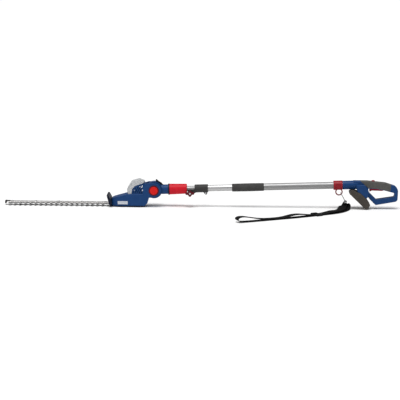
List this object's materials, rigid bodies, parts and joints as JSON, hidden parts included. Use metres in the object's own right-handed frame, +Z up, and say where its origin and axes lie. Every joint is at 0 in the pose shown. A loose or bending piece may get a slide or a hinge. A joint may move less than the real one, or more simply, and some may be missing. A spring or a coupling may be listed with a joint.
{
  "type": "pole hedge trimmer",
  "caption": "Cordless telescoping pole hedge trimmer: tilting double-sided reciprocating blade head, aluminium pole, D-handle, slide-on battery and shoulder strap.",
  "frame": {"origin": "on the cutting head's flat base, below the drive gear's axle", "axes": "+X from the blade towards the handle, +Z up, +Y to the tool's far side"},
  "size_m": [1.8489, 0.4564, 0.1364],
  "materials": {
    "blue_plastic": "moulded blue nylon, fine texture",
    "dark_plastic": "dark moulded nylon",
    "red_plastic": "red satin plastic",
    "clear_plastic": "frosted clear plastic",
    "badge": "plain pale plate",
    "blade_steel": "ground and oiled tool steel",
    "bar_steel": "brushed steel",
    "zinc_steel": "zinc-plated fasteners",
    "motor_steel": "motor can",
    "tube_aluminium": "satin anodised tube",
    "foam": "closed-cell foam sleeve",
    "grip_rubber": "soft grey overmould",
    "webbing": "woven black polyester webbing",
    "battery_plastic": "warm dark grey casing",
    "cell_wrap": "shrink-wrapped cells"
  },
  "bodies": {
    "head": {"base_plate": "dark_plastic", "gearcase_left_shell": "blue_plastic", "gearcase_right_shell": "blue_plastic", "front_guard": "dark_plastic", "clear_screen": "clear_plastic", "badge_plate": "badge", "blade_bar": "bar_steel", "gear_plate": "bar_steel", "blade_bolts": "zinc_steel", "blade_nuts": "zinc_steel", "tip_guard": "dark_plastic", "gear_axle": "bar_steel", "axle_bridge": "dark_plastic", "motor_can": "motor_steel", "head_screws": "zinc_steel", "pivot_bolt": "zinc_steel", "pivot_ring": "dark_plastic", "lock_disc": "bar_steel", "button_spring": "bar_steel"},
    "drive_gear": {"drive_gear": "bar_steel"},
    "motor_rotor": {"motor_rotor": "bar_steel"},
    "upper_blade": {"upper_blade": "blade_steel"},
    "lower_blade": {"lower_blade": "blade_steel"},
    "pivot_button": {"pivot_button": "red_plastic"},
    "neck": {"neck_left_shell": "blue_plastic", "neck_right_shell": "blue_plastic", "neck_screws": "zinc_steel", "neck_flange": "dark_plastic", "lever_pin": "bar_steel", "inner_tube": "tube_aluminium", "tube_guide_plug": "dark_plastic"},
    "release_lever": {"release_lever": "dark_plastic"},
    "lock_sleeve": {"lock_sleeve": "red_plastic"},
    "pole": {"clamp_collar": "dark_plastic", "clamp_screw": "zinc_steel", "clamp_nut": "zinc_steel", "front_tube": "tube_aluminium", "rear_tube": "tube_aluminium", "tube_rivets": "zinc_steel", "foam_grip": "foam", "strap_clamp": "red_plastic", "strap_clamp_screw": "zinc_steel", "snap_hook": "zinc_steel", "shoulder_strap": "webbing", "strap_buckle": "dark_plastic", "handle_left_shell": "blue_plastic", "handle_right_shell": "blue_plastic", "grip_overmould": "grip_rubber", "handle_screws": "zinc_steel", "trigger_pin": "bar_steel", "switch_module": "dark_plastic"},
    "clamp_knob": {"clamp_knob": "red_plastic", "knob_bolt": "zinc_steel"},
    "hook_gate": {"hook_gate": "zinc_steel"},
    "trigger": {"trigger": "red_plastic"},
    "lock_off_button": {"lock_off_button": "red_plastic"},
    "battery": {"battery_case": "battery_plastic", "battery_lid": "battery_plastic", "battery_cells": "cell_wrap"},
    "battery_latch": {"battery_latch": "battery_plastic"}
  },
  "joints": [
    {"name": "head_tilt", "type": "hinge", "parent": "head", "child": "neck", "pos_m": [0.11, 0, 0.08], "axis": [0, 1, 0], "range_deg": [-45, 75]},
    {"name": "drive_gear_turn", "type": "hinge", "parent": "head", "child": "drive_gear", "pos_m": [0, 0, 0.0222], "axis": [0, 0, 1], "range_deg": [-90, 90]},
    {"name": "motor_turn", "type": "hinge", "parent": "head", "child": "motor_rotor", "pos_m": [0.03438, 0, 0.0382], "axis": [0, 0, 1], "range_deg": [-361, 361]},
    {"name": "upper_blade_stroke", "type": "slide", "parent": "head", "child": "upper_blade", "axis": [1, 0, 0], "range_m": [-0.006, 0.006]},
    {"name": "lower_blade_stroke", "type": "slide", "parent": "head", "child": "lower_blade", "axis": [1, 0, 0], "range_m": [-0.006, 0.006]},
    {"name": "pivot_button_press", "type": "slide", "parent": "head", "child": "pivot_button", "axis": [0, 1, 0], "range_m": [0, 0.003], "stiffness_N_per_m": 700, "springref_m": -0.002, "deforming": ["button_spring"]},
    {"name": "release_lever_lift", "type": "hinge", "parent": "neck", "child": "release_lever", "pos_m": [0.14926, 0, 0.10189], "axis": [0, 1, 0], "range_deg": [0, 9], "stiffness_Nm_per_rad": 0.5, "springref_deg": -8.59},
    {"name": "lock_sleeve_turn", "type": "hinge", "parent": "neck", "child": "lock_sleeve", "pos_m": [0.21993, 0, 0.08385], "axis": [0.9994, 0, 0.035], "range_deg": [0, 90]},
    {"name": "telescope", "type": "slide", "parent": "neck", "child": "pole", "axis": [0.9994, 0, 0.035], "range_m": [0, 0.5]},
    {"name": "clamp_knob_turn", "type": "hinge", "parent": "pole", "child": "clamp_knob", "pos_m": [0.27954, 0, 0.06743], "axis": [0, -1, 0], "range_deg": [0, 360]},
    {"name": "trigger_squeeze", "type": "hinge", "parent": "pole", "child": "trigger", "pos_m": [1.18809, 0, 0.09627], "axis": [0, 1, 0], "range_deg": [0, 6], "stiffness_Nm_per_rad": 1.5, "springref_deg": -6.88},
    {"name": "lock_off_press", "type": "slide", "parent": "pole", "child": "lock_off_button", "axis": [0.035, 0, -0.9994], "range_m": [0, 0.0025], "stiffness_N_per_m": 500, "springref_m": -0.002},
    {"name": "battery_slide", "type": "slide", "parent": "pole", "child": "battery", "axis": [0.7218, 0, -0.6921], "range_m": [0, 0.085]},
    {"name": "battery_latch_press", "type": "slide", "parent": "battery", "child": "battery_latch", "axis": [0.7218, 0, -0.6921], "range_m": [0, 0.003], "stiffness_N_per_m": 500, "springref_m": -0.002},
    {"name": "hook_gate_open", "type": "hinge", "parent": "pole", "child": "hook_gate", "pos_m": [1.00138, -0.009, 0.04814], "axis": [-0.8716, 0, -0.4903], "range_deg": [0, 30], "stiffness_Nm_per_rad": 0.05, "springref_deg": -11.46}
  ],
  "couplings": [
    {"joint": "motor_turn", "follows": "drive_gear_turn", "ratio": -4},
    {"joint": "upper_blade_stroke", "follows": "drive_gear_turn", "m_per_rad": -0.003819},
    {"joint": "lower_blade_stroke", "follows": "drive_gear_turn", "m_per_rad": 0.003819}
  ]
}
